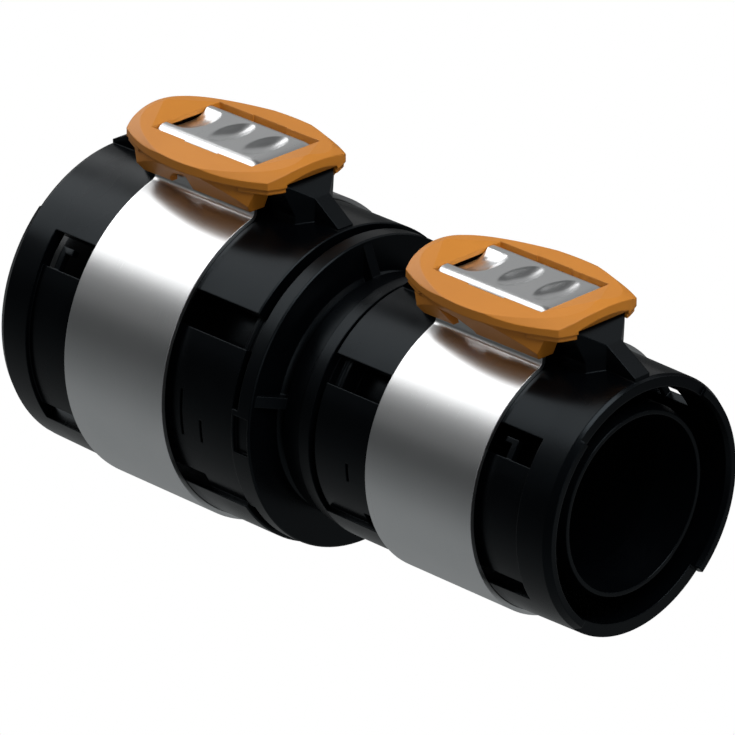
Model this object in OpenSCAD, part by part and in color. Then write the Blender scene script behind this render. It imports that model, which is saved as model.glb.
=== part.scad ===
// Press reducing coupling for plastic pipe.
// X runs along the pipes and out of the small socket, Z points to the ears.
// The origin lies on the axis, where the large pipe stops.

/* [Pipes] */
// Outer diameter of the large pipe
large_pipe_d = 63; // [61:0.5:65]
// Outer diameter of the small pipe
small_pipe_d = 50; // [48:0.5:52]
// Wall of the large pipe
large_pipe_wall = 4.5; // [4.25:0.25:5]
// Wall of the small pipe
small_pipe_wall = 4; // [3.75:0.25:4.5]
// How far the large pipe goes in
large_depth = 67.7; // [66:0.1:72]
// How far the small pipe goes in
small_depth = 64; // [62:0.1:68]

/* [Body] */
// Distance between the ends of the two pipes
stop_gap = 23; // [21:0.5:27]
// Waterway through the large support tube
large_bore_d = 46; // [42:0.5:47]
// Waterway through the small support tube
small_bore_d = 34; // [30:0.5:35]
// Radial gap between a support tube and the pipe on it
tube_clearance = 0.25; // [0.15:0.05:0.35]
// How far a support tube's nose lies behind the mouth
nose_set_back = 2.2; // [1:0.1:4]
// Length of the nose chamfer on a support tube
nose_chamfer = 2.4; // [1:0.1:3]
// Thickness of the nose at its very end
nose_land = 0.85; // [0.5:0.05:1.2]
// Length of the taper inside the nose
nose_lead = 10; // [4:0.5:14]
// Distance between the large pipe's end and the flange
flange_at = 4.5; // [4:0.1:5.5]
// Thickness of the flange
flange_t = 3.9; // [2.5:0.1:4.5]
// How far the flange lies below the large sleeve's surface
flange_drop = 0.7; // [0.3:0.1:1.5]
// Thickness of the upper step of the small ring
ring_t = 3.4; // [2:0.1:4]
// Thickness of the lower step of the small ring
step_t = 4.7; // [3:0.1:5.5]
// Gap between the small ring and the small sleeve
ring_gap = 1.1; // [0.5:0.1:2]
// How far the small ring lies below the small sleeve's surface
ring_drop = 0.6; // [0.2:0.1:1.2]
// Height of the step between the two parts of the small ring
step_drop = 0.8; // [0.5:0.1:1.5]
// Radius of the neck where it leaves the small ring
neck_r = 22.5; // [21.5:0.1:24]
// Angle from the upper gusset to the ones at the sides
gusset_angle = 76; // [60:1:90]
// Thickness of a gusset
gusset_t = 2.4; // [1.5:0.1:3]
// How far a gusset starts below the flange's edge
gusset_drop = 0.9; // [0.4:0.1:2]
// Angle from the ears at which the flange's key begins
key_from = 81; // [75:1:100]
// Angle from the ears at which the flange's key ends
key_to = 122; // [115:1:170]
// Gap between the key and the large sleeve
key_gap = 0.5; // [0.3:0.1:1]
// Angle covered by the pocket at the upper end of the key
pocket_angle = 14; // [6:1:30]
// Depth of that pocket
pocket_depth = 0.9; // [0.4:0.1:1.5]
// Wall left around that pocket
pocket_wall = 0.6; // [0.4:0.1:1]

/* [Seals] */
// Thickness of an O-ring
seal_cord = 2.4; // [1.8:0.1:2.5]
// Length of the groove beyond the thickness of the ring
seal_play = 0.6; // [0.3:0.1:1]
// How far a seated O-ring stands above its tube
seal_proud = 0.05; // [0.02:0.01:0.08]
// Distance between the two O-rings of a tube
seal_pitch = 12; // [8:0.5:14]

/* [Holder sleeves] */
// Radial gap between a pipe and its sleeve
sleeve_clearance = 0.4; // [0.3:0.05:0.6]
// Wall of the large sleeve
large_sleeve_wall = 3.3; // [3:0.1:4]
// Wall of the small sleeve
small_sleeve_wall = 3.1; // [2.9:0.1:4]
// How far a sleeve reaches over the body past the pipe's end
sleeve_overlap = 2.6; // [2.2:0.1:2.9]
// Width of the closed collar at the mouth
collar_w = 8; // [6:0.1:9]
// Angle from the ears to the edge of the upper land
upper_land_angle = 47; // [44:0.5:50]
// Angle from the ears to the upper edge of the side panel
panel_from = 60; // [56:0.5:64]
// Angle from the ears to the lower edge of the side panel
panel_to = 116; // [112:0.5:118]
// Angle from the ears to the edge of the lower land
lower_land_angle = 122.5; // [120:0.5:128]
// How deep the side panels lie below the lands
panel_recess = 1.3; // [0.8:0.1:1.6]
// Length of the bridge between a panel and the lower land
bridge_l = 9; // [6:0.1:11]
// Angle from the ears at which the longer side lip begins and ends
lip_angle = 41; // [38:0.5:44]
// How far the side lips reach past the mouth
lip_reach = 0.8; // [0.4:0.1:1.5]
// How far the lowest part of the mouth is cut back
foot_cut_back = 1.5; // [0.8:0.1:2]
// Length of the chamfer around the mouth
rim_chamfer_l = 1.6; // [1:0.1:2.5]
// Depth of the chamfer around the mouth
rim_chamfer_r = 0.9; // [0.5:0.1:1.2]
// How much a land narrows between the band and the mouth
mouth_taper = 0.35; // [0:0.05:0.6]
// Distance from the pipe's end to the first slit in a side panel
slit_at = 6.4; // [5:0.1:8]
// Distance between the two slits
slit_pitch = 5.8; // [4:0.1:7]
// Angle from the ears at which the slits end
slit_to = 100; // [94:1:106]
// Angle covered by the first slit
slit_angle = 9; // [5:1:12]
// Width of the slits
slit_w = 0.7; // [0.5:0.1:1]
// Depth of the slits in a side panel
slit_depth = 0.8; // [0.4:0.1:1]

/* [Saddles] */
// Length of the saddle block on each side of the ear
saddle_l = 6.6; // [5:0.1:7]
// Gap between the band's edge and a saddle
saddle_gap = 0.6; // [0.4:0.1:1]
// Width of a saddle at its top
saddle_w = 14.4; // [12:0.1:16]
// Width of a saddle at its foot
saddle_foot_w = 11; // [9:0.1:13]
// Width of the rib in front of a saddle
prow_w = 4.2; // [3:0.1:5]
// Length over which the saddle narrows to its rib
prow_l = 3.8; // [3:0.1:5]
// Height lost over that length
prow_drop = 3.6; // [3:0.1:4]

/* [Clamp bands] */
// Thickness of the steel band
band_t = 1; // [0.8:0.1:1.2]
// Width of the steel band
band_w = 30; // [26:0.5:31]
// Radial gap between a band and the lands under it
band_clearance = 0.05; // [0.03:0.01:0.15]
// Distance from the large pipe's end to the middle of its band
large_band_at = 31; // [30:0.5:33]
// Distance from the small pipe's end to the middle of its band
small_band_at = 29.5; // [29:0.5:31]
// Half width of the ear over its legs
ear_half_w = 9.2; // [8.6:0.1:9.3]
// Height of the ear over the band
ear_rise = 10.6; // [10.2:0.1:11.2]
// Outer radius of the ear's two rims
rim_r = 2.4; // [2:0.1:2.6]
// Outer radius of the fold at the foot of the ear
fold_r = 1.4; // [1:0.1:2]
// How deep the floor of the ear lies below its rims
floor_drop = 2.3; // [2:0.1:2.8]
// Radius between the floor and the rims
floor_r = 2.2; // [1.8:0.1:2.6]
// Number of dimples in the ear
dimples = 3; // [2:1:4]
// Radius of a dimple
dimple_r = 4.4; // [4:0.1:4.8]
// Distance between two dimples
dimple_pitch = 9.2; // [8.8:0.1:9.6]
// How far the row of dimples lies off the middle, away from the small mouth
dimple_shift = 1.3; // [0:0.1:2]
// Radius of the dimple that runs out over the ear's end
open_dimple_r = 6.5; // [6:0.1:7.5]
// How much further out that dimple lies
open_dimple_shift = 0.8; // [0.6:0.1:1.4]
// Length by which the open dimple is drawn out across the ear
open_dimple_l = 0.8; // [0.4:0.1:1.2]
// Length by which the other dimples are drawn out across the ear
dimple_l = 3; // [2:0.1:4]
// How deep a dimple lies below the floor
dimple_depth = 1.3; // [1:0.1:1.5]

/* [Press indicators] */
// Length of the window
window_l = 30.5; // [30:0.1:32]
// Width of the window
window_w = 19.8; // [19.6:0.1:21]
// Depth of the shallow step in the window's long sides
window_step = 0.35; // [0.1:0.05:0.5]
// How far the ear stands above the edge of the window
ear_proud = 0.1; // [0:0.1:0.5]
// Half length of the frame at its middle
frame_half_l = 24; // [23.2:0.1:24.6]
// Half width of the frame at its middle
frame_half_w = 17.1; // [16.6:0.1:18.5]
// How far the frame's ends bulge past its corners
end_bow = 2; // [1:0.1:2.6]
// Half width of the frame at its corners
corner_y = 11.1; // [10.5:0.1:12]
// How much is taken off the frame's corners
corner_cut = 0.3; // [0.2:0.05:0.5]
// How much the long sides slope down to their edge
side_slope = 1.2; // [0.5:0.1:1.6]
// Height of the two ends over the edge of the window
end_rise = 0.8; // [0.4:0.1:1.4]
// Radius of the arch over each end
end_arch_r = 23.2; // [21:0.2:30]
// How steeply the arches fall outwards
arch_fall = 0.3; // [0.25:0.01:0.35]
// How steeply the hollow between the window and an arch rises
hollow_rise = 0.25; // [0.15:0.01:0.35]
// Thickness of the rim over the saddles
frame_t = 2.6; // [2.4:0.1:3.2]
// How deep the rim of the long sides reaches
rim_depth = 3.3; // [3:0.1:4]
// Thickness of the frame over the hollow beside the window
roof_t = 1; // [0.8:0.1:1.4]
// Length of the part of the frame that rests on a saddle
rest_l = 2.4; // [2:0.1:3.5]
// Depth of the lips beside the saddles
lip_depth = 4.4; // [4:0.1:5.5]
// Depth of the skirts beside the ear
skirt_depth = 9.6; // [8:0.1:10]
// Half length of the skirts at their lower edge
skirt_half_l = 16.2; // [15.5:0.1:17.5]
// How much longer each end of a skirt is at the rim
skirt_flare = 2.6; // [2:0.1:4]
// Thickness of a skirt at its lower edge
skirt_t = 1.5; // [1:0.1:2]
// Distance from the middle of the skirts to their gap, away from the small mouth
notch_at = 4.4; // [0:0.1:6]
// Width of that gap
notch_w = 6.2; // [4:0.1:7]
// How far skirts and lips stand back under the frame's edge
edge_step = 0.8; // [0.4:0.1:1.2]

/* [Hidden] */
$fn = 96;
black_plastic = [0.07, 0.075, 0.085];
orange_plastic = [0.86, 0.52, 0.2];
steel = [0.72, 0.72, 0.73];
rubber = [0.03, 0.03, 0.03];
fit = 0.1;
over = 1;
far = 100;
band_seat_l = band_w + 2 * saddle_gap;
saddle_x = band_seat_l / 2;

// The large socket is the mirror image of the small one.
module socket(big) {
    if (big) mirror([1, 0, 0]) children();
    else translate([stop_gap, 0, 0]) children();
}

module turned(angle = 360) {
    rotate([0, 90, 0]) rotate_extrude(angle = angle) children();
}

function depth(big) = big ? large_depth : small_depth;
function band_at(big) = big ? large_band_at : small_band_at;
function pipe_r(big) = (big ? large_pipe_d : small_pipe_d) / 2;
function pipe_wall(big) = big ? large_pipe_wall : small_pipe_wall;
function bore_r(big) = (big ? large_bore_d : small_bore_d) / 2;
function tube_r(big) = pipe_r(big) - pipe_wall(big) - tube_clearance;
function sleeve_bore(big) = pipe_r(big) + sleeve_clearance;
function sleeve_wall(big) = big ? large_sleeve_wall : small_sleeve_wall;
function land_r(big) = sleeve_bore(big) + sleeve_wall(big);
function band_r(big) = land_r(big) + band_clearance + band_t;
function ear_top(big) = band_r(big) + ear_rise;
function frame_top(big) = ear_top(big) - ear_proud;
function saddle_top(big) = frame_top(big) - frame_t - fit;
function arc(x, y, r, from, to, n = 8) =
    [for (i = [0:n]) let (a = from + (to - from) * i / n) [x + r * cos(a), y + r * sin(a)]];

// A wedge seen along the pipe, between two angles counted from the ears, on both sides.
module sectors(from, to, r) {
    middle = (from + to) / 2;
    points = concat([[0, 0]], arc(0, 0, r / cos((to - from) / 4), 90 + from, 90 + to, 2));
    for (side = [0, 1])
        mirror([side, 0, 0]) polygon(points);
}

// Stands a shape drawn across the pipe up on the YZ plane and pulls it along X.
module along_x(from, to) {
    translate([from, 0, 0]) rotate([90, 0, 90]) linear_extrude(to - from) children();
}

/* Fitting body */
flange_r = land_r(true) - flange_drop;
flange_end = flange_at + flange_t;
ring_r = land_r(false) - ring_drop;
ring_end = stop_gap - sleeve_overlap - ring_gap;
step_at = ring_end - ring_t - step_t;
key_at = sleeve_overlap + key_gap;
step_r = ring_r - step_drop;
bead_r = 0.6;
bead_at = sleeve_overlap / 2;

function nose_x(big) = depth(big) - nose_set_back;

function seal_r(big) = tube_r(big) + seal_proud - seal_cord / 2;

function seal_x(big, outer) = band_at(big) + (outer ? 1 : -1) * seal_pitch / 2;

module support_tube(big) {
    socket(big) difference() {
        turned() polygon([
            [0, -stop_gap / 4],
            [tube_r(big), -stop_gap / 4],
            [tube_r(big), nose_x(big) - nose_chamfer],
            [nose_r(big) + nose_land, nose_x(big)],
            [0, nose_x(big)]
        ]);
        for (outer = [false, true])
            translate([seal_x(big, outer), 0, 0]) turned() translate([seal_r(big) - seal_cord / 2 - 0.02, 0])
                translate([0, -(seal_cord + seal_play) / 2]) square([seal_cord * 2, seal_cord + seal_play]);
    }
}

function nose_r(big) = tube_r(big) - nose_land - (big ? 0.9 : 0.95);

// The shoulder on which a sleeve snaps.
module shoulder(big, reach) {
    socket(big) {
        turned() translate([0, -reach]) square([sleeve_bore(big) - fit, reach]);
        translate([-bead_at, 0, 0]) turned() translate([sleeve_bore(big) - 2 * fit, 0]) circle(bead_r, $fn = 32);
    }
}

module waterway() {
    turned() polygon([
        [0, -large_depth],
        [nose_r(true), -large_depth],
        [nose_r(true), -nose_x(true)],
        [bore_r(true), nose_lead - nose_x(true)],
        [bore_r(true), flange_at],
        [bore_r(false), step_at + step_t],
        [bore_r(false), stop_gap + nose_x(false) - nose_lead],
        [nose_r(false), stop_gap + nose_x(false)],
        [nose_r(false), stop_gap + small_depth],
        [0, stop_gap + small_depth]
    ]);
}

module gusset() {
    translate([0, gusset_t / 2, 0]) rotate([90, 0, 0]) linear_extrude(gusset_t) polygon([
        [flange_end - over, neck_r - over],
        [flange_end - over, flange_r - gusset_drop],
        [flange_end, flange_r - gusset_drop],
        [step_at, step_r],
        [step_at + over, step_r],
        [step_at + over, neck_r - over]
    ]);
}

// The part of the flange that reaches up to the large sleeve.
module flange_key() {
    intersection() {
        turned() translate([0, key_at]) square([flange_r, flange_at]);
        along_x(0, flange_at + over) sectors(key_from, key_to, flange_r * 1.5);
    }
}

module flange_pocket() {
    from = key_from + 2;
    along_x(key_at + pocket_wall, flange_end - pocket_wall) difference() {
        sectors(from, from + pocket_angle, flange_r + over);
        circle(flange_r - pocket_depth);
    }
}

module fitting_body() {
    color(black_plastic) difference() {
        union() {
            support_tube(true);
            support_tube(false);
            shoulder(true, flange_at + over);
            shoulder(false, stop_gap - ring_end + over);
            turned() polygon([
                [0, flange_at],
                [flange_r - 0.3, flange_at],
                [flange_r, flange_at + 0.3],
                [flange_r, flange_end - 0.3],
                [flange_r - 0.3, flange_end],
                [neck_r + 4, flange_end],
                [neck_r, step_at],
                [step_r, step_at],
                [step_r, ring_end - ring_t],
                [ring_r - 0.3, ring_end - ring_t],
                [ring_r, ring_end - ring_t + 0.3],
                [ring_r, ring_end],
                [0, ring_end]
            ]);
            flange_key();
            for (angle = [0, gusset_angle, 180, -gusset_angle])
                rotate([angle, 0, 0]) gusset();
        }
        flange_pocket();
        waterway();
    }
}

/* Holder sleeves */
module sleeve_shell(big) {
    mouth = depth(big) + lip_reach;
    band_end = band_at(big) + band_seat_l / 2;
    turned() difference() {
        polygon([
            [sleeve_bore(big), -sleeve_overlap],
            [land_r(big) - 0.25, -sleeve_overlap],
            [land_r(big), -sleeve_overlap + 0.25],
            [land_r(big), band_end],
            [land_r(big) - mouth_taper, mouth - rim_chamfer_l],
            [land_r(big) - mouth_taper - rim_chamfer_r, mouth],
            [sleeve_bore(big) + 0.5, mouth],
            [sleeve_bore(big), mouth - 1.2]
        ]);
        translate([sleeve_bore(big) - 2 * fit, -bead_at]) circle(bead_r + fit, $fn = 32);
    }
}

// The upper slots and the sunken side panels, open towards the body, and the lower slots.
module side_openings(big) {
    start = -sleeve_overlap - over;
    collar = depth(big) - collar_w;
    reach = land_r(big) + over;
    along_x(start, collar) {
        difference() {
            sectors(upper_land_angle, lower_land_angle, reach);
            circle(land_r(big) - panel_recess);
        }
        sectors(upper_land_angle, panel_from, reach);
    }
    along_x(bridge_l, collar) sectors(panel_to, lower_land_angle, reach);
}

module panel_slit(big, x, from, to) {
    along_x(x, x + slit_w) difference() {
        sectors(from, to, land_r(big));
        circle(land_r(big) - panel_recess - slit_depth);
    }
}

// The catch that stands in the upper slot near the mouth.
module slot_catch(big) {
    x = depth(big) - (big ? 14.5 : 17.5);
    from = upper_land_angle + 4;
    r = land_r(big) - panel_recess - 0.1;
    intersection() {
        union() {
            along_x(x + 1.9, x + 3.3) sectors(from, panel_from + 1, r + over);
            along_x(x, x + 2.4) sectors(from, from + 2.4, r + over);
        }
        turned() translate([sleeve_bore(big) + 0.2, x - over]) square([r - sleeve_bore(big) - 0.2, 6]);
    }
}

module mouth_cuts(big) {
    reach = land_r(big) + over;
    end = depth(big) + lip_reach + over;
    along_x(depth(big), end) sectors(-1, lip_angle, reach);
    along_x(depth(big) - foot_cut_back, end) sectors(180 - lip_angle, 181, reach);
}

// One end of the seat for the indicator: a block beside the band, a prow and a rib that runs down.
module saddle(big, reach) {
    top = saddle_top(big);
    foot = land_r(big) - sleeve_wall(big) / 2;
    tip = saddle_x + saddle_l;
    knee = tip + prow_l;
    low = land_r(big) + 0.4;
    intersection() {
        along_x(saddle_x, reach - 0.6) {
            polygon([
                [-saddle_foot_w / 2, foot],
                [saddle_foot_w / 2, foot],
                [saddle_foot_w / 2, low + 1],
                [saddle_w / 2, top - 2.5],
                [saddle_w / 2, top],
                [-saddle_w / 2, top],
                [-saddle_w / 2, top - 2.5],
                [-saddle_foot_w / 2, low + 1]
            ]);
        }
        translate([0, 0, foot - over]) linear_extrude(top - foot + 2 * over) polygon([
            [saddle_x - over, -saddle_w],
            [tip, -saddle_w],
            [tip, -saddle_w / 2],
            [knee, -prow_w / 2],
            [reach, -prow_w / 2],
            [reach, prow_w / 2],
            [knee, prow_w / 2],
            [tip, saddle_w / 2],
            [tip, saddle_w],
            [saddle_x - over, saddle_w]
        ]);
        translate([0, saddle_w, 0]) rotate([90, 0, 0]) linear_extrude(2 * saddle_w) polygon([
            [saddle_x - over, foot - over],
            [saddle_x - over, top + over],
            [tip - 0.6, top + over],
            [tip - 0.6, top],
            [knee, top - prow_drop],
            [reach - 0.6, low],
            [reach, low],
            [reach, foot - over]
        ]);
    }
}

module holder_sleeve(big) {
    color(black_plastic) socket(big) {
        difference() {
            sleeve_shell(big);
            side_openings(big);
            mouth_cuts(big);
            panel_slit(big, slit_at, slit_to - slit_angle, slit_to);
            panel_slit(big, slit_at + slit_pitch, slit_to - 2 * slit_angle, slit_to);
        }
        slot_catch(big);
        translate([band_at(big), 0, 0]) {
            saddle(big, depth(big) - band_at(big));
            mirror([1, 0, 0]) saddle(big, band_at(big) + sleeve_overlap);
        }
    }
}

/* Clamp bands */
// One side of a bent sheet whose middle line follows arcs, each given as x, y, radius, from, to and side.
function sheet_side(arcs, t) = [
    for (a = arcs) each arc(a[0], a[1], a[2] + a[5] * t / 2, a[3], a[4])
];

function reversed(list) = [for (i = [len(list) - 1:-1:0]) list[i]];

function mirrored(list) = [for (p = list) [-p[0], p[1]]];

module ear_outline(big) {
    top = ear_top(big);
    t = band_t;
    mid_r = band_r(big) - t / 2;
    leg_y = ear_half_w - t / 2;
    fold = fold_r + t / 2;
    fold_y = leg_y + fold;
    fold_z = sqrt(pow(mid_r + fold, 2) - pow(fold_y, 2));
    lean = atan2(fold_z, fold_y);
    rim = rim_r - t / 2;
    rim_y = leg_y - rim;
    rim_z = top - rim_r;
    well = floor_r + t / 2;
    well_z = top - floor_drop + floor_r;
    well_y = rim_y - sqrt(pow(rim + well, 2) - pow(well_z - rim_z, 2));
    turn = atan2(well_z - rim_z, rim_y - well_y);
    arcs = [
        [fold_y, fold_z, fold, 180 + lean - 6, 180, 1],
        [rim_y, rim_z, rim, 0, 180 - turn, -1],
        [well_y, well_z, well, -turn, -90, 1]
    ];
    root = lean - 2;
    top_side = concat([(band_r(big) - 0.2) * [cos(root), sin(root)]], sheet_side(arcs, -t));
    under_side = concat([(band_r(big) - t + 0.2) * [cos(root), sin(root)]], sheet_side(arcs, t));
    polygon(concat(top_side, reversed(mirrored(top_side)), mirrored(under_side), reversed(under_side)));
}

module band_ring(big) {
    mid_r = band_r(big) - band_t / 2;
    fold = fold_r + band_t / 2;
    half_gap = asin((ear_half_w - band_t / 2 + fold) / (mid_r + fold)) - 0.6;
    difference() {
        circle(band_r(big));
        circle(band_r(big) - band_t);
        polygon(concat([[0, 0]], arc(0, 0, band_r(big) * 1.3, 90 - half_gap, 90 + half_gap, 2)));
    }
}

// The tool that presses a dimple: a ball drawn out across the ear, grown by the sheet for its outside.
module dimple(big, i, grown) {
    open = i == (big ? dimples - 1 : 0);
    r = open ? open_dimple_r : dimple_r;
    l = open ? open_dimple_l : dimple_l;
    shift = (big ? 1 : -1) * (dimple_shift + (open ? open_dimple_shift : 0));
    x = shift + (i - (dimples - 1) / 2) * dimple_pitch;
    translate([x, 0, ear_top(big) - floor_drop - dimple_depth + r])
        rotate([90, 0, 0]) rotate_extrude($fn = 64) intersection() {
            union() {
                square([2 * (r + grown), l], center = true);
                translate([0, l / 2]) circle(r + grown, $fn = 64);
                translate([0, -l / 2]) circle(r + grown, $fn = 64);
            }
            translate([0, -far]) square([far, 2 * far]);
        }
}

module clamp_band(big) {
    floor_z = ear_top(big) - floor_drop;
    color(steel) socket(big) translate([band_at(big), 0, 0]) difference() {
        union() {
            along_x(-band_w / 2, band_w / 2) {
                band_ring(big);
                ear_outline(big);
            }
            intersection() {
                for (i = [0:dimples - 1])
                    dimple(big, i, band_t);
                translate([-band_w / 2, -far, floor_z - far - band_t / 2]) cube([band_w, 2 * far, far]);
            }
        }
        for (i = [0:dimples - 1])
            dimple(big, i, 0);
    }
}

/* Press indicators */
corner_x = frame_half_l - end_bow;

// Radius of an arc through the middle of a side and its two corners.
function bow(half, rise) = (half * half + rise * rise) / (2 * rise);

module frame_plan(inset = 0) {
    side_r = bow(corner_x, frame_half_w - corner_y);
    end_r = bow(corner_y, end_bow);
    intersection() {
        translate([0, frame_half_w - side_r]) circle(side_r - inset, $fn = 360);
        translate([0, side_r - frame_half_w]) circle(side_r - inset, $fn = 360);
        translate([frame_half_l - end_r, 0]) circle(end_r - inset, $fn = 360);
        translate([end_r - frame_half_l, 0]) circle(end_r - inset, $fn = 360);
        circle(norm([corner_x, corner_y]) - corner_cut - inset, $fn = 360);
    }
}

// Everything above a plane through a line in the frame's top, leaning down outwards.
module lean_cut(x, y, turn, slope) {
    translate([x, y, 0]) rotate([0, 0, turn]) rotate([0, atan(slope), 0])
        translate([-far, -far, 0]) cube([2 * far, 2 * far, far]);
}

// Everything above a falling arch over one end.
module arch_cut() {
    translate([frame_half_l, 0, end_rise]) rotate([0, atan(arch_fall), 0]) difference() {
        translate([-far, -far, -end_arch_r / 2]) cube([2 * far, 2 * far, far]);
        translate([0, 0, -end_arch_r]) rotate([0, 90, 0]) cylinder(r = end_arch_r, h = 4 * far, center = true, $fn = 240);
    }
}

module frame_crown() {
    for (side = [-1, 1])
        lean_cut(0, side * window_w / 2, side * 90, side_slope / (frame_half_w - window_w / 2));
    for (end = [0, 1])
        mirror([end, 0, 0]) {
            arch_cut();
            translate([window_l / 2, -window_w / 2, 0]) rotate([0, -atan(hollow_rise), 0])
                translate([-over, 0, 0]) cube([far, window_w, far]);
        }
}

// Seen from the side: the gap between the short and the long tooth of a skirt.
module notch_outline() {
    polygon([
        [-notch_w / 2 - 1.4, -rim_depth - 1.7],
        [-notch_w / 2, -skirt_depth - over],
        [notch_w / 2, -skirt_depth - over],
        [notch_w / 2, -skirt_depth + 1],
        [0, -rim_depth - 2.8]
    ]);
}

// The two toothed skirts beside the ear: upright inside, slanting inwards outside.
module skirts(gap_x) {
    skirt_y = window_w / 2 + skirt_t;
    top_y = frame_half_w - edge_step;
    top_x = skirt_half_l + skirt_flare;
    intersection() {
        translate([0, 0, -skirt_depth]) linear_extrude(skirt_depth - frame_t) frame_plan(edge_step);
        along_x(-far, far) polygon([
            [-skirt_y, -skirt_depth],
            [skirt_y, -skirt_depth],
            [top_y, -rim_depth],
            [top_y, 0],
            [-top_y, 0],
            [-top_y, -rim_depth]
        ]);
        rotate([90, 0, 0]) linear_extrude(2 * far, center = true) difference() {
            polygon([
                [-skirt_half_l, -skirt_depth],
                [skirt_half_l, -skirt_depth],
                [top_x, -rim_depth],
                [top_x, 0],
                [-top_x, 0],
                [-top_x, -rim_depth]
            ]);
            translate([gap_x, 0]) notch_outline();
        }
    }
}

// What is left free over the saddles: the seat, the hollow beside the window and the slanting end.
module saddle_room() {
    rest_x = saddle_x + saddle_l - rest_l;
    translate([0, saddle_w / 2 + fit, 0]) rotate([90, 0, 0]) linear_extrude(saddle_w + 2 * fit) {
        translate([-far, -far - frame_t]) square([2 * far, far]);
        for (end = [0, 1])
            mirror([end, 0]) {
                translate([0, -frame_t - over]) square([rest_x, frame_t + over - roof_t]);
                polygon([
                    [frame_half_l - 0.9, -frame_t - over],
                    [frame_half_l - 0.9, -frame_t],
                    [frame_half_l + 0.4, -0.4],
                    [frame_half_l + over, -0.4],
                    [frame_half_l + over, -frame_t - over]
                ]);
            }
    }
}

module press_indicator(big) {
    lip_from = saddle_x - 0.6;
    color(orange_plastic) socket(big) translate([band_at(big), 0, frame_top(big)]) difference() {
        union() {
            difference() {
                translate([0, 0, -rim_depth]) linear_extrude(rim_depth + frame_t) frame_plan();
                frame_crown();
            }
            difference() {
                translate([0, 0, -lip_depth]) linear_extrude(lip_depth - frame_t) frame_plan(edge_step / 2);
                cube([2 * lip_from, 2 * far, 2 * far], center = true);
            }
            skirts(big ? notch_at : -notch_at);
        }
        translate([-window_l / 2, -window_w / 2, -far]) cube([window_l, window_w, 2 * far]);
        cube([window_l / 3, window_w + 2 * window_step, 2 * far], center = true);
        saddle_room();
    }
}

/* Seals */
module seal(big, outer) {
    color(rubber) socket(big) translate([seal_x(big, outer), 0, 0]) turned()
        translate([seal_r(big), 0]) circle(seal_cord / 2, $fn = 32);
}

fitting_body();
holder_sleeve(true);  // large_holder_sleeve
holder_sleeve(false);  // small_holder_sleeve
clamp_band(true);  // large_clamp_band
clamp_band(false);  // small_clamp_band
press_indicator(true);  // large_press_indicator
press_indicator(false);  // small_press_indicator
seal(true, false);  // large_inner_seal
seal(true, true);  // large_outer_seal
seal(false, false);  // small_inner_seal
seal(false, true);  // small_outer_seal
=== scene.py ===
# %% [markdown]
# # A press reducing coupling, dressed for its picture
#
# This is a fitting that joins a large plastic pipe to a smaller one. A black moulded body carries
# a support tube for each pipe. Round each tube sits a slotted black sleeve, round each sleeve a
# bright steel band, and on each band's ear an orange frame that falls off once the joint is pressed.
#
# Nearly all shapes come from the CAD model, so most of what is left to do here is what a CAD file
# can't hold: how each surface takes the light. The lesson goes from the frame to the camera, then
# through the finishes one by one. It draws the two pressed bands anew, dresses every piece, and
# ends with the studio.

# %% Load the frame
import math
import bpy
from mathutils import Matrix, Vector


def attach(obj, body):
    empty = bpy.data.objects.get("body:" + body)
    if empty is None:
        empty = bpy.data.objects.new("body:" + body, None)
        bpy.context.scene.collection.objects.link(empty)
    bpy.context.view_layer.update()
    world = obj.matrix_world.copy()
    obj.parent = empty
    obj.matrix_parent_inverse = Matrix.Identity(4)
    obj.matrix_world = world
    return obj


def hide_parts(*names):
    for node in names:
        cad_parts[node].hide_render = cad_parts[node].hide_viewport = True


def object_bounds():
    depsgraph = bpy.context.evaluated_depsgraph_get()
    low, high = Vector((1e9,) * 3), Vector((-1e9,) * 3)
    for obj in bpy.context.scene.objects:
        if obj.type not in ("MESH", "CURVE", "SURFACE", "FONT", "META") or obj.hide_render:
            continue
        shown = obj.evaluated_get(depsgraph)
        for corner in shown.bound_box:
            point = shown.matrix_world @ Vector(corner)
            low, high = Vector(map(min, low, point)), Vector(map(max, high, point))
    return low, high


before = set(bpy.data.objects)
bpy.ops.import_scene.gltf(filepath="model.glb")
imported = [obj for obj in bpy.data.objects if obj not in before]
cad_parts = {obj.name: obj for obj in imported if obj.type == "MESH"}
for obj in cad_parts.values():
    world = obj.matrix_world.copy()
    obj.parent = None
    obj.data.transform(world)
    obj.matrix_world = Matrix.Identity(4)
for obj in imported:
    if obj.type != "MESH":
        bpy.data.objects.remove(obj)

cad_box = [list(corner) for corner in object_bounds()]
for name in sorted(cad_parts):
    print("piece:", name, len(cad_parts[name].data.polygons), "triangles")

# %% [markdown]
# ## The camera
#
# A product picture like this one is taken from far off with a long lens, so the two ends of the
# coupling differ little in scale. The camera looks down at about 24.5 degrees and sees the small
# mouth from 45 degrees to its left.
#
# A camera could be aimed with a tracking constraint. Three axes written out are steadier: the
# direction back to the camera, the one to its right, and the one up that follows from both.

# %% Camera
to_camera = Vector((0.64609, -0.64041, 0.41527)).normalized()
to_right = Vector((0.70398, 0.71022, 0.0)).normalized()
to_top = to_camera.cross(to_right)

camera_data = bpy.data.cameras.new("camera")
camera_data.sensor_width = 36.0
camera_data.lens = 312.06
camera_data.clip_start = 0.05
camera_data.clip_end = 30.0
camera = bpy.data.objects.new("camera", camera_data)
bpy.context.scene.collection.objects.link(camera)
camera.matrix_world = Matrix.Translation((0.8693, -0.8533, 0.5588)) @ Matrix(
    (to_right, to_top, to_camera)).transposed().to_4x4()
bpy.context.scene.camera = camera
print("camera stands", round(camera.location.length, 3), "m from the origin")

# %% [markdown]
# ## A short way to wire nodes
#
# Every finish below is a small tree of shader nodes. Adding each node with its inputs and links in
# one call keeps the trees readable: a number goes to the socket, a socket makes a link.

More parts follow.
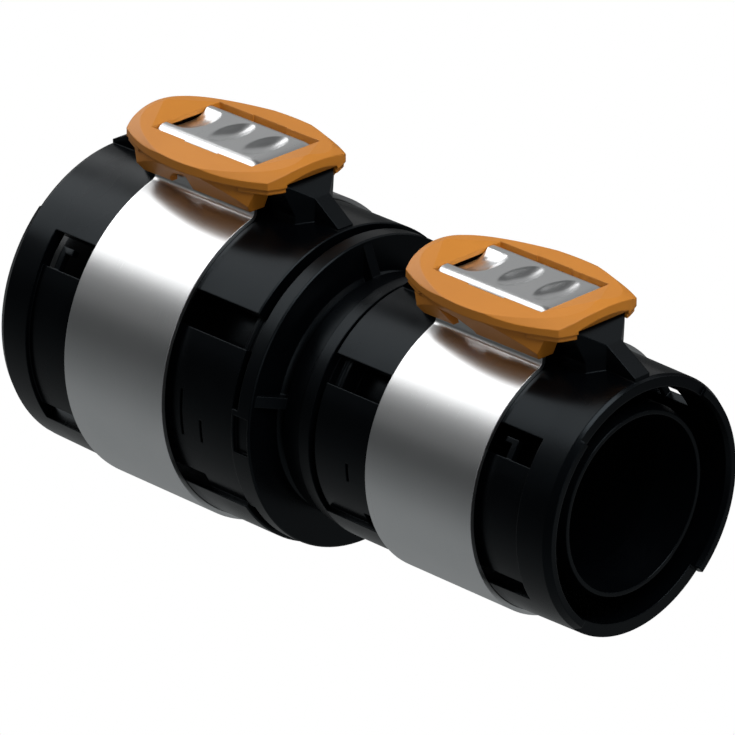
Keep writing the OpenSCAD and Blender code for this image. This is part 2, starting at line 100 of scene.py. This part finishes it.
# %% Node helper
def node(tree, kind, values=None, **settings):
    made = tree.nodes.new(kind)
    for key, value in settings.items():
        setattr(made, key, value)
    for key, value in (values or {}).items():
        if isinstance(value, bpy.types.NodeSocket):
            tree.links.new(value, made.inputs[key])
        else:
            made.inputs[key].default_value = value
    return made


def finish_tree(name):
    material = bpy.data.materials.new(name)
    material.use_nodes = True
    tree = material.node_tree
    tree.nodes.clear()
    output = tree.nodes.new("ShaderNodeOutputMaterial")
    surface = tree.nodes.new("ShaderNodeBsdfPrincipled")
    tree.links.new(surface.outputs["BSDF"], output.inputs["Surface"])
    return material, tree, surface


def noise(tree, place, scale, detail, **values):
    return node(tree, "ShaderNodeTexNoise", {
        "Vector": place, "Scale": scale, "Detail": detail, **values}).outputs["Fac"]


def ramp(tree, factor, stops):
    made = node(tree, "ShaderNodeValToRGB", {"Fac": factor})
    band = made.color_ramp
    while len(band.elements) < len(stops):
        band.elements.new(0.5)
    for element, (place, colour) in zip(band.elements, stops):
        element.position = place
        element.color = colour if len(colour) == 4 else (*colour, 1.0)
    return made.outputs["Color"]


def grey(value):
    return (value, value, value, 1.0)


def softened_edges(tree, radius):
    # a mould or a press leaves no edge truly sharp: this rounds the shading across each edge
    return node(tree, "ShaderNodeBevel", {"Radius": radius}, samples=6).outputs["Normal"]

# %% [markdown]
# ## Black moulded plastic
#
# The body and the two sleeves are injection moulded in a hard black plastic. It is almost free of
# diffuse colour: what the eye sees is the soft box mirrored in a satin surface, and a faint grain
# from the eroded mould. A picture of grain could do this, but a noise in object coordinates has no
# seams and keeps its scale in millimetres: 0.35 mm grain, and slow waves of 12 mm where the melt
# cooled unevenly.

# %% Black plastic
mould_grain = 2800.0  # noise cells a metre, so about 0.35 mm
cooling_waves = 80.0  # about 12 mm


def black_plastic(name, roughness):
    material, tree, surface = finish_tree(name)
    place = node(tree, "ShaderNodeTexCoord").outputs["Object"]
    grain = noise(tree, place, mould_grain, 3.0)
    waves = noise(tree, place, cooling_waves, 2.0)
    satin = node(tree, "ShaderNodeMapRange", {
        "Value": waves, "From Min": 0.3, "From Max": 0.7,
        "To Min": roughness - 0.03, "To Max": roughness + 0.05}).outputs["Result"]
    tint = ramp(tree, waves, [(0.3, (0.0006, 0.0009, 0.0014)), (0.7, (0.0009, 0.0013, 0.0019))])
    height = node(tree, "ShaderNodeMath", {0: grain, 1: 0.15}, operation="MULTIPLY").outputs["Value"]
    height = node(tree, "ShaderNodeMath", {0: waves, 1: 2.0, 2: height},
                  operation="MULTIPLY_ADD").outputs["Value"]
    bump = node(tree, "ShaderNodeBump", {
        "Strength": 0.35, "Distance": 0.00004, "Height": height,
        "Normal": softened_edges(tree, 0.00035)}).outputs["Normal"]
    for key, value in {"Base Color": tint, "Roughness": satin, "Normal": bump}.items():
        tree.links.new(value, surface.inputs[key])
    surface.inputs["IOR"].default_value = 1.5
    surface.inputs["Specular IOR Level"].default_value = 0.16
    surface.inputs["Specular Tint"].default_value = (0.76, 0.90, 1.0, 1.0)
    return material


body_plastic = black_plastic("black_plastic_body", 0.27)
sleeve_plastic = black_plastic("black_plastic_sleeve", 0.24)

# %% [markdown]
# ## Rolled stainless steel
#
# Each band is a strip of cold rolled stainless sheet, bent round and folded up into its ear. The
# rolls leave very fine lines along the strip, which on the band run round the pipe. They are too
# fine to see one by one: they widen the highlight along the pipe and leave a silky look.
#
# Stretching a noise along X would only work on a straight strip. Here the lines must follow the
# bend, so the noise is read in the coordinates of a strip: X along the pipe at a fine scale, and
# the angle round the pipe at a coarse one.

# %% Steel
def strip_lines(tree, fine, coarse):
    place = node(tree, "ShaderNodeTexCoord").outputs["Object"]
    parts = node(tree, "ShaderNodeSeparateXYZ", {"Vector": place})
    turn = node(tree, "ShaderNodeMath", {0: parts.outputs["Y"], 1: parts.outputs["Z"]},
                operation="ARCTAN2").outputs["Value"]
    along = node(tree, "ShaderNodeMath", {0: parts.outputs["X"], 1: fine},
                 operation="MULTIPLY").outputs["Value"]
    round_pipe = node(tree, "ShaderNodeMath", {0: turn, 1: coarse},
                      operation="MULTIPLY").outputs["Value"]
    return place, node(tree, "ShaderNodeCombineXYZ", {"X": along, "Y": round_pipe}).outputs["Vector"]


def rolled_steel(name):
    material, tree, surface = finish_tree(name)
    place, strip = strip_lines(tree, fine=9000.0, coarse=3.0)
    lines = noise(tree, strip, 1.0, 4.0, Roughness=0.6)
    clouds = noise(tree, place, 90.0, 3.0)
    tint = ramp(tree, clouds, [(0.3, (0.735, 0.745, 0.75)), (0.7, (0.765, 0.77, 0.775))])
    polish = node(tree, "ShaderNodeMapRange", {
        "Value": lines, "From Min": 0.25, "From Max": 0.75,
        "To Min": 0.27, "To Max": 0.30}).outputs["Result"]
    bump = node(tree, "ShaderNodeBump", {
        "Strength": 0.02, "Distance": 0.00001, "Height": lines,
        "Normal": softened_edges(tree, 0.00025)}).outputs["Normal"]
    for key, value in {"Base Color": tint, "Roughness": polish, "Normal": bump}.items():
        tree.links.new(value, surface.inputs[key])
    surface.inputs["Metallic"].default_value = 1.0
    return material


band_steel = rolled_steel("rolled_steel_band")

# %% [markdown]
# ## Orange plastic
#
# The press indicators are moulded from an opaque orange plastic with a matt surface. Its colour is
# almost free of blue, so the shadows and the faces that see other orange faces turn a deep amber,
# while the broad, weak shine of the matt skin lifts the top faces towards peach. The grain is
# coarser than on the black parts.

# %% Orange plastic
def orange_plastic(name):
    material, tree, surface = finish_tree(name)
    place = node(tree, "ShaderNodeTexCoord").outputs["Object"]
    grain = noise(tree, place, 1900.0, 3.0)
    waves = noise(tree, place, 60.0, 2.0)
    tint = ramp(tree, waves, [(0.3, (0.63, 0.222, 0.014)), (0.7, (0.67, 0.240, 0.017))])
    bump = node(tree, "ShaderNodeBump", {
        "Strength": 0.3, "Distance": 0.00005, "Height": grain,
        "Normal": softened_edges(tree, 0.0004)}).outputs["Normal"]
    for key, value in {"Base Color": tint, "Normal": bump}.items():
        tree.links.new(value, surface.inputs[key])
    surface.inputs["Roughness"].default_value = 0.55
    surface.inputs["IOR"].default_value = 1.5
    surface.inputs["Specular IOR Level"].default_value = 0.62
    return material


indicator_plastic = orange_plastic("orange_plastic_indicator")

# %% [markdown]
# ## Seal rubber
#
# The O-rings lie in grooves of the support tubes, lightly greased. They hardly show, but anyone who
# looks down the mouth sees them, so they get a rubber of their own: deep black with a soft shine.

# %% Rubber
def seal_rubber(name):
    material, tree, surface = finish_tree(name)
    place = node(tree, "ShaderNodeTexCoord").outputs["Object"]
    specks = noise(tree, place, 1500.0, 4.0)
    tint = ramp(tree, specks, [(0.35, (0.006, 0.006, 0.006)), (0.7, (0.012, 0.012, 0.012))])
    bump = node(tree, "ShaderNodeBump", {
        "Strength": 0.3, "Distance": 0.00003, "Height": specks}).outputs["Normal"]
    for key, value in {"Base Color": tint, "Normal": bump}.items():
        tree.links.new(value, surface.inputs[key])
    surface.inputs["Roughness"].default_value = 0.42
    return material


ring_rubber = seal_rubber("seal_rubber_ring")

# %% [markdown]
# ## The bands as they are pressed
#
# A clamp band is one strip of sheet: a ring that folds outwards, rises in two legs and closes over
# the top as a flat ear with rounded edges. The press leaves long dimples across the ear, and the
# outermost one runs out over its end. The CAD band has the ring, folds, legs and round edges at
# these sizes, but a shallow trough in its ear. The flat ear is what the picture shows, so the
# bands that are seen are drawn here and stand in the same place.
#
# A boolean cut would leave sharp rims. The sheet is a grid instead: points along its bend times
# stations along the pipe. A dimple is then a smooth dent in the height of both faces, which keeps
# the sheet's thickness and softens the rim, as drawn metal does.

# %% Band outline
millimetre = 0.001
sheet = 1.0  # thickness of the sheet; this and the sizes below are in millimetres
ear_half = 9.2
fold_radius = 1.4
ring_steps, fold_steps, rim_steps, top_steps = 70, 10, 14, 34


def sweep(y, z, radius, start, end, count):
    angles = [math.radians(start + (end - start) * i / count) for i in range(count + 1)]
    return [(y + radius * math.cos(a), z + radius * math.sin(a), math.cos(a), math.sin(a))
            for a in angles]


def half_outline(ring_outer, ear_top, rim_radius):
    """Middle line of the sheet, from the lowest point up to the middle of the ear.

    Each point is its place y, z and the direction y, z that leads out of the sheet there.
    """
    ring = ring_outer - sheet / 2
    leg = ear_half - sheet / 2
    fold = fold_radius + sheet / 2
    fold_z = math.sqrt((ring + fold) ** 2 - (leg + fold) ** 2)
    lean = math.degrees(math.atan2(fold_z, leg + fold))
    rim = rim_radius - sheet / 2
    flat = leg - rim
    points = sweep(0, 0, ring, -90, lean, ring_steps)
    points += [(y, z, -out_y, -out_z) for y, z, out_y, out_z
               in sweep(leg + fold, fold_z, fold, 180 + lean, 180, fold_steps)[1:]]
    points += sweep(flat, ear_top - rim_radius, rim, 0, 90, rim_steps)
    points += [(flat * (1 - i / top_steps), ear_top - sheet / 2, 0.0, 1.0)
               for i in range(1, top_steps + 1)]
    return points


def whole_outline(ring_outer, ear_top, rim_radius):
    right = half_outline(ring_outer, ear_top, rim_radius)
    left = [(-y, z, -out_y, out_z) for y, z, out_y, out_z in reversed(right[1:-1])]
    return right + left


print("points round a band:", 2 * (ring_steps + fold_steps + rim_steps + top_steps) + 2)

# %% [markdown]
# ## The dimples
#
# A dimple is an oval bowl, long across the ear and short along it. The profile `(1 - s^2)^1.2` is
# round at the bottom and meets the ear in a narrow bend, without an edge. The open dimple counts no
# distance towards the end of the ear, so it runs out as a valley, and it deepens on the way. The
# other end of the ear leans down a little.

# %% Dimples
dimple_half_width = 3.3
dimple_half_length = 6.3
dimple_depth = 1.15
valley_half_length = 5.9
valley_depth = 1.75
valley_run = 4.5  # the way along the ear on which the valley deepens
valley_lead = 1.5
lean_depth = 0.5
lean_run = 3.0


def bowl(s):
    return (1.0 - s * s) ** 1.2 if s < 1.0 else 0.0


def share(distance, run):
    return min(max(distance / run, 0.0), 1.0)


def dent(x, y, places):
    """How deep the ear is pressed at x, y, where places holds the dimples' middles along X."""
    open_place, *closed_places = places
    closed = dimple_depth * max(
        bowl(math.hypot((x - place) / dimple_half_width, y / dimple_half_length))
        for place in closed_places)
    deepened = share(open_place + valley_lead - x, valley_run)
    inward = max((x - open_place) / dimple_half_width, 0.0)
    across = (abs(y) / valley_half_length) ** (1 + deepened)
    valley = (dimple_depth + (valley_depth - dimple_depth) * deepened) * bowl(math.hypot(inward, across))
    lean = lean_depth * share(x - closed_places[-1] - lean_run, lean_run) ** 2
    return closed + valley + lean


print("a closed dimple is pressed in by", dent(0.0, 0.0, (-10.0, 0.0, 10.0)), "mm")

# %% [markdown]
# ## From the outline to a closed sheet
#
# The outline is repeated along the pipe, once moved out of the sheet's middle by half its thickness
# and once moved in, and two strips close the ends. The dent fades along the rolled edge, from all of
# it on the flat top to none at the legs. The finished piece stands for the CAD's band, which the
# simulation still uses, hidden.

# %% Pressed bands
band_width = 30.0
stations = 100  # steps along the pipe
ear_slack = 0.02  # keeps the ear just inside the CAD's own band
sharp_from = math.radians(40)


def pressed_band(name, replaced, middle_x, ring_outer, ear_top, rim_radius, places):
    outline = whole_outline(ring_outer, ear_top - ear_slack, rim_radius)
    crest = ear_top - ear_slack - sheet / 2
    rise = rim_radius - sheet / 2
    rows = [-band_width / 2 + band_width * i / stations for i in range(stations + 1)]
    verts, faces = [], []
    for side in (1, -1):
        for x in rows:
            for y, z, out_y, out_z in outline:
                skin_y = y + out_y * side * sheet / 2
                skin_z = z + out_z * side * sheet / 2
                skin_z -= dent(x, y, places) * max(1.0 - (crest - z) / rise, 0.0)
                verts.append(((middle_x + x) * millimetre, skin_y * millimetre, skin_z * millimetre))
    round_count = len(outline)
    block = round_count * len(rows)
    for i in range(stations):
        for j in range(round_count):
            k = (j + 1) % round_count
            a, b = i * round_count + j, i * round_count + k
            c, d = b + round_count, a + round_count
            faces.append((a, b, c, d))
            faces.append((block + d, block + c, block + b, block + a))
    last = stations * round_count
    for j in range(round_count):
        k = (j + 1) % round_count
        faces.append((block + j, block + k, k, j))
        faces.append((last + j, last + k, block + last + k, block + last + j))
    mesh = bpy.data.meshes.new(name)
    mesh.from_pydata(verts, [], faces)
    mesh.shade_smooth()
    mesh.set_sharp_from_angle(angle=sharp_from)
    piece = bpy.data.objects.new(name, mesh)
    bpy.context.scene.collection.objects.link(piece)
    mesh.materials.append(band_steel)
    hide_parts(replaced)
    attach(piece, "root")
    print(name, len(faces), "faces")


pressed_band("large_pressed_band", "large_clamp_band", middle_x=-31.0, ring_outer=36.25,
             ear_top=46.85, rim_radius=2.7, places=(-11.1, -1.1, 8.9))
pressed_band("small_pressed_band", "small_clamp_band", middle_x=52.5, ring_outer=29.55,
             ear_top=40.15, rim_radius=2.3, places=(-10.1, -0.1, 9.9))

# %% [markdown]
# ## Dress the pieces
#
# Each CAD piece keeps its place and mesh. Only the material in its slots changes.

# %% Assign
finishes = {
    "fitting_body": body_plastic,
    "large_holder_sleeve": sleeve_plastic,
    "small_holder_sleeve": sleeve_plastic,
    "large_clamp_band": band_steel,
    "small_clamp_band": band_steel,
    "large_press_indicator": indicator_plastic,
    "small_press_indicator": indicator_plastic,
}
for name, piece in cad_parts.items():
    finish = finishes.get(name, ring_rubber)
    piece.data.materials.clear()
    piece.data.materials.append(finish)
    print(name, "->", finish.name)

# %% [markdown]
# ## The studio
#
# Steel shows its surroundings, so the light is chosen by what the bands should mirror: one bright
# soft box high on the left, a dim horizon that gives the dark zone at mid height, and a pool of
# light painted into the floor's glow that lifts the underside again.
#
# The floor is plain and pale. Seen straight on it is white. What the pieces mirror of it, and what
# lights them from below, is a painted pool of light: an emitted grey, brightest along the middle
# line and fading into the dim horizon, with no shadows in it. The two are told apart by the kind of
# ray that arrives. The same goes for the world behind it.

# %% Floor and world
horizon = 0.06
pool_colour = (0.95, 0.99, 1.0, 1.0)
painted_pool_reach = 0.40
# painted pool of light: steps of the emitted grey, from the floor's middle line out to the horizon
painted_pool_steps = [(0.12, 0.24), (0.17, 0.215), (0.23, 0.165), (0.36, 0.115), (0.80, 0.08), (1.0, horizon)]
floor_gap = 0.004
floor_half_side = 6.0


def seen_white(tree, quiet):
    white = node(tree, "ShaderNodeEmission" if quiet.node.type == "EMISSION" else "ShaderNodeBackground",
                 {"Color": grey(1.0), "Strength": 1.0})
    seen = node(tree, "ShaderNodeLightPath").outputs["Is Camera Ray"]
    return node(tree, "ShaderNodeMixShader", {"Fac": seen, 1: quiet, 2: white.outputs[0]}).outputs["Shader"]


def plain_floor(height, half_side):
    mesh = bpy.data.meshes.new("floor")
    corners = [(x * half_side, y * half_side, height) for x, y in ((-1, -1), (1, -1), (1, 1), (-1, 1))]
    mesh.from_pydata(corners, [], [(0, 1, 2, 3)])
    floor = bpy.data.objects.new("floor", mesh)
    bpy.context.scene.collection.objects.link(floor)
    material = bpy.data.materials.new("pale_floor")
    material.use_nodes = True
    tree = material.node_tree
    tree.nodes.clear()
    place = node(tree, "ShaderNodeTexCoord").outputs["Object"]
    aside = node(tree, "ShaderNodeSeparateXYZ", {"Vector": place}).outputs["Y"]
    aside = node(tree, "ShaderNodeMath", {0: aside}, operation="ABSOLUTE").outputs["Value"]
    aside = node(tree, "ShaderNodeMath", {0: aside, 1: painted_pool_reach},
                 operation="DIVIDE").outputs["Value"]
    # painted pool of light on the floor: emission brightest along the middle line, fading sideways, with no
    # shadow in it
    fade = ramp(tree, aside, [(step, grey(value)) for step, value in painted_pool_steps])
    tinted = node(tree, "ShaderNodeVectorMath", {0: fade, 1: pool_colour[:3]},
                  operation="MULTIPLY").outputs["Vector"]
    quiet = node(tree, "ShaderNodeEmission", {"Color": tinted, "Strength": 1.0}).outputs["Emission"]
    node(tree, "ShaderNodeOutputMaterial", {"Surface": seen_white(tree, quiet)})
    mesh.materials.append(material)
    print("floor at", round(height * 1000, 1), "mm")


plain_floor(cad_box[0][2] - floor_gap, floor_half_side)

world = bpy.data.worlds.new("studio")
world.use_nodes = True
bpy.context.scene.world = world
sky = world.node_tree
sky.nodes.clear()
dim = node(sky, "ShaderNodeBackground", {"Color": pool_colour, "Strength": horizon}).outputs["Background"]
node(sky, "ShaderNodeOutputWorld", {"Surface": seen_white(sky, dim)})
bpy.context.scene.view_settings.view_transform = "Standard"
bpy.context.scene.view_settings.look = "None"

# %% [markdown]
# ## Soft boxes
#
# Each box has one job, found by following the mirrored ray from the camera off a surface:
# - the key is what the bands mirror as a white streak, and the two boxes below it, which overlap,
#   let that streak fade into grey on the side towards the floor
# - the back box is what the flat top of each ear mirrors, so it is wide and quiet
# - the low box beside it shows only in the steep sides of the dimples
# - the overhead box, the fill and the far side box stand where the bands don't mirror them: they
#   feed the matt orange plastic and the sides that the camera doesn't see
#
# An area light's power is spread over its face, so the same brightness in a bigger box needs more
# watts. It is clearer to say how bright the face should look and to work out the power from that.

# %% Lights
middle = Vector([(a + b) / 2 for a, b in zip(*cad_box)])


def soft_box(name, direction, distance, side, brightness):
    data = bpy.data.lights.new(name, "AREA")
    data.shape = "SQUARE"
    data.size = side
    data.energy = brightness * math.pi * side * side
    light = bpy.data.objects.new(name, data)
    bpy.context.scene.collection.objects.link(light)
    towards = Vector(direction).normalized()
    light.location = middle + towards * distance
    light.rotation_euler = towards.to_track_quat("Z", "Y").to_euler()
    print(name, "shines with", round(data.energy, 1), "W")


soft_box("key", (-0.646, -0.200, 0.737), 1.1, 0.70, 2.1)
soft_box("key edge", (-0.646, -0.54, 0.54), 1.1, 0.36, 0.14)
soft_box("key fade", (-0.646, -0.64, 0.416), 1.1, 0.54, 0.10)
soft_box("back", (-0.646, 0.64, 0.46), 1.5, 1.1, 0.30)
soft_box("low", (-0.88, 0.17, 0.42), 1.35, 0.80, 2.0)
soft_box("overhead", (0.50, -0.02, 0.87), 0.9, 0.6, 5.0)
soft_box("fill", (0.85, -0.45, 0.30), 1.5, 0.8, 1.0)
soft_box("far side", (0.35, 0.75, 0.56), 1.3, 0.8, 0.8)
